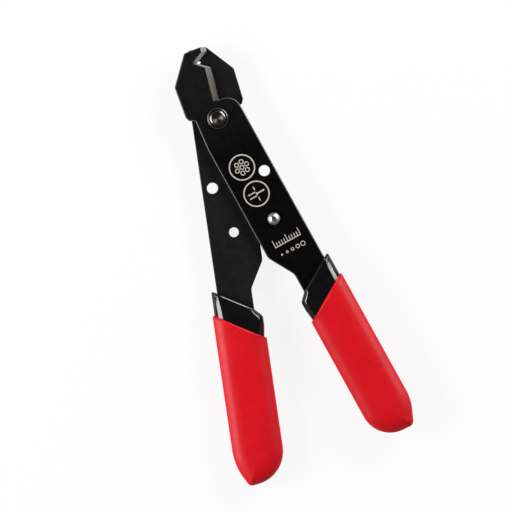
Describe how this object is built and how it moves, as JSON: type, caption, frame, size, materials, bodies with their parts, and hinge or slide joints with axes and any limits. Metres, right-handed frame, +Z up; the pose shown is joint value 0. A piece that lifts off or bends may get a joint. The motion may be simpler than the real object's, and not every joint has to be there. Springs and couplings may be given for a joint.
{
  "type": "wire stripper",
  "caption": "Flat two-lever wire stripper and cutter with a V notch at the jaw tip, a turnable cam stop and dipped grips.",
  "frame": {"origin": "on the surface the tool lies on, under the middle of its length and width", "axes": "+Y along the tool towards the jaws, +Z up along the pivot rivet towards the front lever, +X to the front lever's handle"},
  "size_m": [0.0661, 0.1538, 0.0116],
  "materials": {
    "black_steel": "satin black oxide",
    "bright_steel": "turned",
    "zinc_steel": "bright zinc",
    "grip_black": "gloss",
    "grip_red": "satin"
  },
  "bodies": {
    "rear_side": {"rear_lever": "black_steel", "rear_grip_liner": "grip_black", "rear_grip_cover": "grip_red", "pivot_rivet": "bright_steel", "pivot_washer_front": "bright_steel", "pivot_washer_rear": "bright_steel"},
    "front_side": {"front_lever": "black_steel", "front_grip_liner": "grip_black", "front_grip_cover": "grip_red"},
    "stop": {"stop_screw": "zinc_steel", "stop_cam": "black_steel", "stop_washer": "zinc_steel", "stop_nut": "zinc_steel"}
  },
  "joints": [
    {"name": "lever_pivot", "type": "hinge", "parent": "rear_side", "child": "front_side", "pos_m": [0, 0.05128, 0.0058], "axis": [0, 0, 1], "range_deg": [0, 35]},
    {"name": "stop_turn", "type": "hinge", "parent": "front_side", "child": "stop", "pos_m": [0.00749, 0.01118, 0.0058], "axis": [0, 0, 1], "continuous": true}
  ]
}
